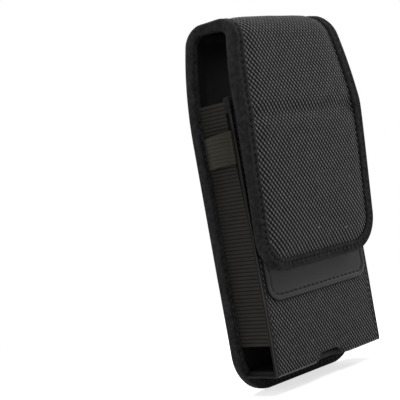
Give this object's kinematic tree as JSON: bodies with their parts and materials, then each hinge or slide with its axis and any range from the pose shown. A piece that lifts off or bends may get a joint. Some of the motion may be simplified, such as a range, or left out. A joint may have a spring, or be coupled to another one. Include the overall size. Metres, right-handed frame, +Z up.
{
  "type": "phone belt holster",
  "caption": "Upright padded nylon phone pouch with a magnetic flap, elastic sides with a pen loop, and a spring belt clip and lanyard ring on the back.",
  "frame": {"origin": "top of the belt clip's throat, in the middle of the gap that the belt fills and on the clip's centre line", "axes": "+Z up with the pouch worn upright, +X to the right seen from the flap side, +Y towards the wearer, so the flap faces -Y"},
  "size_m": [0.0916, 0.0528, 0.1824],
  "materials": {
    "ballistic_nylon": "coarse basket weave with a slight sheen",
    "binding_tape": "fine grosgrain tape",
    "lining_cloth": "plain smooth cloth",
    "padding_foam": "closed-cell foam under cloth",
    "elastic_webbing": "ribbed elastic webbing",
    "flat_webbing": "narrow flat webbing",
    "smooth_leather": "smooth coated leather, matte",
    "magnet_plating": "nickel plating",
    "black_spring_steel": "semi-gloss black coating",
    "satin_rivet": "satin dark grey",
    "bright_nickel": "polished nickel"
  },
  "bodies": {
    "pouch": {"back_nylon": "ballistic_nylon", "front_nylon": "ballistic_nylon", "belt_band": "ballistic_nylon", "strap_front": "ballistic_nylon", "strap_back": "ballistic_nylon", "back_binding": "binding_tape", "mouth_binding": "binding_tape", "back_lining": "lining_cloth", "front_lining": "lining_cloth", "back_foam": "padding_foam", "front_foam": "padding_foam", "elastic_left": "elastic_webbing", "elastic_right": "elastic_webbing", "pen_loop": "elastic_webbing", "ring_tab": "flat_webbing", "closure_patch": "smooth_leather", "patch_magnet_left": "magnet_plating", "patch_magnet_right": "magnet_plating", "belt_clip": "black_spring_steel", "clip_rivet_upper": "satin_rivet", "clip_rivet_lower": "satin_rivet", "rivet_burr_upper": "satin_rivet", "rivet_burr_lower": "satin_rivet"},
    "flap": {"flap_nylon": "ballistic_nylon", "flap_foam": "padding_foam", "flap_lining": "lining_cloth", "flap_binding": "binding_tape", "flap_magnet_left": "magnet_plating", "flap_magnet_right": "magnet_plating"},
    "ring": {"d_ring": "bright_nickel"}
  },
  "joints": [
    {"name": "flap_hinge", "type": "hinge", "parent": "pouch", "child": "flap", "pos_m": [0, -0.0118, 0.0482], "axis": [-1, 0, 0], "range_deg": [0, 170]},
    {"name": "ring_swing", "type": "hinge", "parent": "pouch", "child": "ring", "pos_m": [0, -0.0102, 0.01845], "axis": [-1, 0, 0], "range_deg": [0, 105]}
  ]
}
